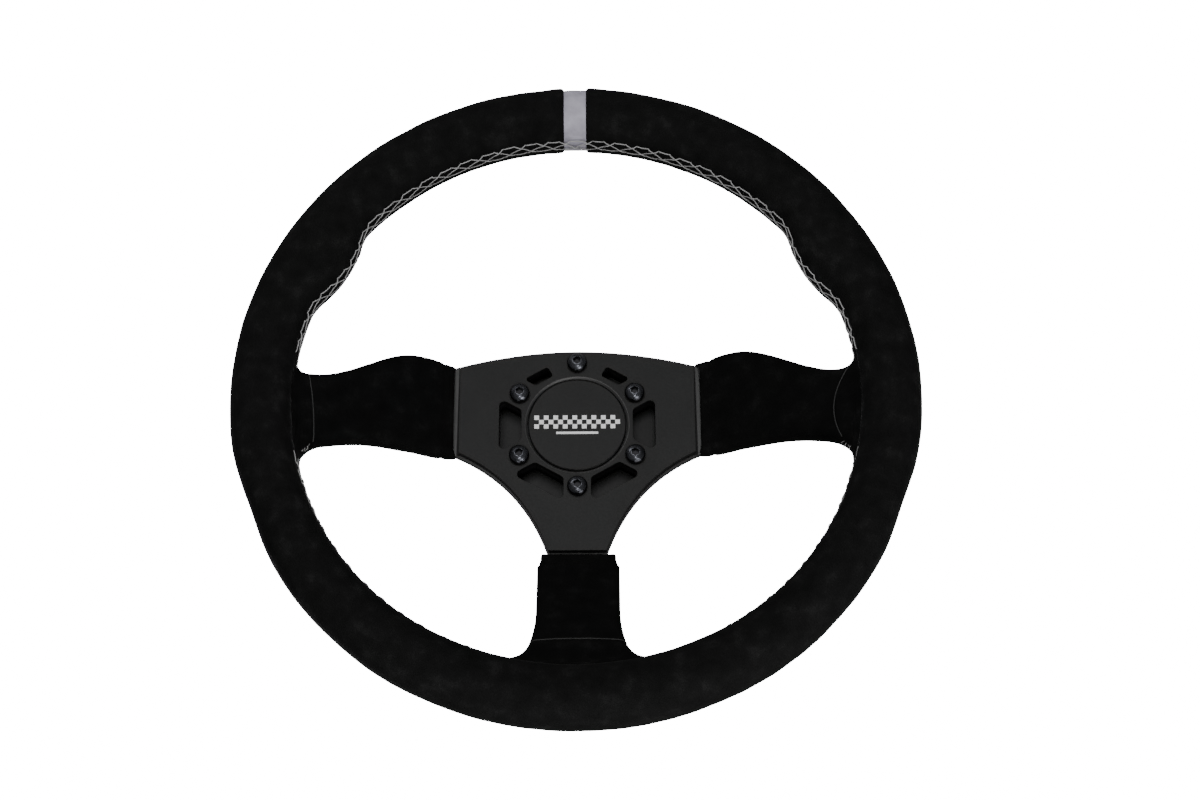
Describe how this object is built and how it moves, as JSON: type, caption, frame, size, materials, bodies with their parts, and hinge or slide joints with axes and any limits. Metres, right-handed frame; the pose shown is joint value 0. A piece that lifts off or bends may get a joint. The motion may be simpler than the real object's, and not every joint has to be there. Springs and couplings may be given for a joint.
{
  "type": "quick release steering wheel",
  "caption": "Dished three-spoke racing steering wheel with a suede rim and the wheel-side half of a ball-lock quick release: a sliding collar frees balls from the column stub.",
  "frame": {"origin": "centre of the quick release's mouth, at the lowest point of the wheel as it lies face up", "axes": "+Z along the steering axis towards the driver, +Y to twelve o'clock on the rim, +X to three o'clock as the driver sees it"},
  "size_m": [0.35, 0.3499, 0.1172],
  "materials": {
    "anodised_plate": "satin dark grey anodising",
    "spoke_metal": "satin grey anodising",
    "black_anodised": "satin black anodising",
    "nose_anodised": "satin grey anodising",
    "black_screw": "oiled black oxide",
    "core_steel": "plain mild steel",
    "barrel_steel": "hardened and ground",
    "bright_steel": "bright zinc plate",
    "ball_steel": "polished bearing steel",
    "foam": "moulded polyurethane foam",
    "suede": "napped suede",
    "stripe_leather": "smooth satin leather",
    "thread": "waxed polyester thread",
    "black_rubber": "matte",
    "buffer_rubber": "cast polyurethane"
  },
  "bodies": {
    "wheel": {"faceplate": "anodised_plate", "centre_cap": "anodised_plate", "cap_o_ring": "black_rubber", "hub_screws": "black_screw", "spoke_plate": "spoke_metal", "rim_ring": "core_steel", "spoke_rivets": "core_steel", "rim_foam": "foam", "rim_wrap": "suede", "centre_stripe": "stripe_leather", "rim_stitching": "thread", "spoke_pad_left": "foam", "spoke_pad_right": "foam", "spoke_pad_bottom": "foam", "spoke_wrap_left": "suede", "spoke_wrap_right": "suede", "spoke_wrap_bottom": "suede", "hub_flange": "black_anodised", "lock_barrel": "barrel_steel", "barrel_screws": "black_screw", "spline_insert": "barrel_steel", "spline_dowels": "bright_steel", "socket_buffer": "buffer_rubber", "socket_cap": "spoke_metal", "spring_seat": "bright_steel", "collar_spring": "bright_steel", "nose_ring": "nose_anodised"},
    "collar": {"release_collar": "black_anodised", "collar_grip_rings": "black_rubber"},
    "ball_1": {"lock_ball_1": "ball_steel"},
    "ball_2": {"lock_ball_2": "ball_steel"},
    "ball_3": {"lock_ball_3": "ball_steel"},
    "ball_4": {"lock_ball_4": "ball_steel"},
    "ball_5": {"lock_ball_5": "ball_steel"},
    "ball_6": {"lock_ball_6": "ball_steel"}
  },
  "joints": [
    {"name": "collar_slide", "type": "slide", "parent": "wheel", "child": "collar", "axis": [0, 0, 1], "range_m": [0, 0.007], "stiffness_N_per_m": 1500, "springref_m": -0.01, "deforming": ["collar_spring"]},
    {"name": "ball_1_out", "type": "slide", "parent": "wheel", "child": "ball_1", "axis": [0.866, 0.5, 0], "range_m": [0, 0.002]},
    {"name": "ball_2_out", "type": "slide", "parent": "wheel", "child": "ball_2", "axis": [0, 1, 0], "range_m": [0, 0.002]},
    {"name": "ball_3_out", "type": "slide", "parent": "wheel", "child": "ball_3", "axis": [-0.866, 0.5, 0], "range_m": [0, 0.002]},
    {"name": "ball_4_out", "type": "slide", "parent": "wheel", "child": "ball_4", "axis": [-0.866, -0.5, 0], "range_m": [0, 0.002]},
    {"name": "ball_5_out", "type": "slide", "parent": "wheel", "child": "ball_5", "axis": [0, -1, 0], "range_m": [0, 0.002]},
    {"name": "ball_6_out", "type": "slide", "parent": "wheel", "child": "ball_6", "axis": [0.866, -0.5, 0], "range_m": [0, 0.002]}
  ],
  "couplings": [
    {"joint": "ball_1_out", "follows": "collar_slide", "ratio": 0.28571},
    {"joint": "ball_2_out", "follows": "collar_slide", "ratio": 0.28571},
    {"joint": "ball_3_out", "follows": "collar_slide", "ratio": 0.28571},
    {"joint": "ball_4_out", "follows": "collar_slide", "ratio": 0.28571},
    {"joint": "ball_5_out", "follows": "collar_slide", "ratio": 0.28571},
    {"joint": "ball_6_out", "follows": "collar_slide", "ratio": 0.28571}
  ]
}
